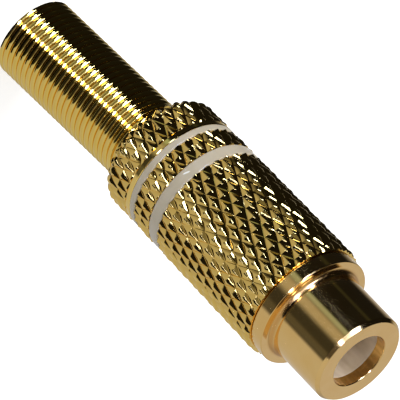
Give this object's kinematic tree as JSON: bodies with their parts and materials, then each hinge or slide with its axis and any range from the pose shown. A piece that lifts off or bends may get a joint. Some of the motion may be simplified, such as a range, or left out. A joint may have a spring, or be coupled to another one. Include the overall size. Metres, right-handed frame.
{
  "type": "in-line phono socket",
  "caption": "Gold-plated in-line phono socket with a knurled screw-on shell, plain colour bands and a close-wound spring guard for its cable.",
  "frame": {"origin": "on the shell's axis, level with the ground foot of the spring", "axes": "+Z along the socket's axis, from the spring's foot to the nose; the spring leans slightly towards -X; the earth tag's tail is on the +Y side"},
  "size_m": [0.011, 0.011, 0.042],
  "materials": {
    "turned_gold": "gold plated over fine turning marks",
    "shell_gold": "bright gold plated knurl",
    "spring_gold": "bright gold plated spring wire",
    "contact_gold": "gold plated",
    "tag_metal": "gold plated sheet",
    "band_plastic": "milky white plastic, satin gloss",
    "white_insulator": "milky white plastic, smooth",
    "clear_sleeve": "clear soft plastic tube"
  },
  "bodies": {
    "cable_guard": {"spring": "spring_gold"},
    "shell": {"knurled_shell": "shell_gold", "wide_colour_band": "band_plastic", "narrow_colour_band": "band_plastic", "insulating_sleeve": "clear_sleeve"},
    "front": {"front_body": "turned_gold", "front_insulator": "white_insulator", "centre_contact": "contact_gold", "rear_insulator": "white_insulator", "earth_tag": "tag_metal"}
  },
  "joints": [
    {"name": "shell_turn", "type": "hinge", "parent": "cable_guard", "child": "shell", "pos_m": [0, 0, 0.025], "axis": [0, 0, -1], "range_deg": [0, 2700]},
    {"name": "front_advance", "type": "slide", "parent": "cable_guard", "child": "front", "axis": [0, 0, 1], "range_m": [0, 0.00563]}
  ],
  "couplings": [
    {"joint": "front_advance", "follows": "shell_turn", "m_per_rad": 0.00011937}
  ]
}
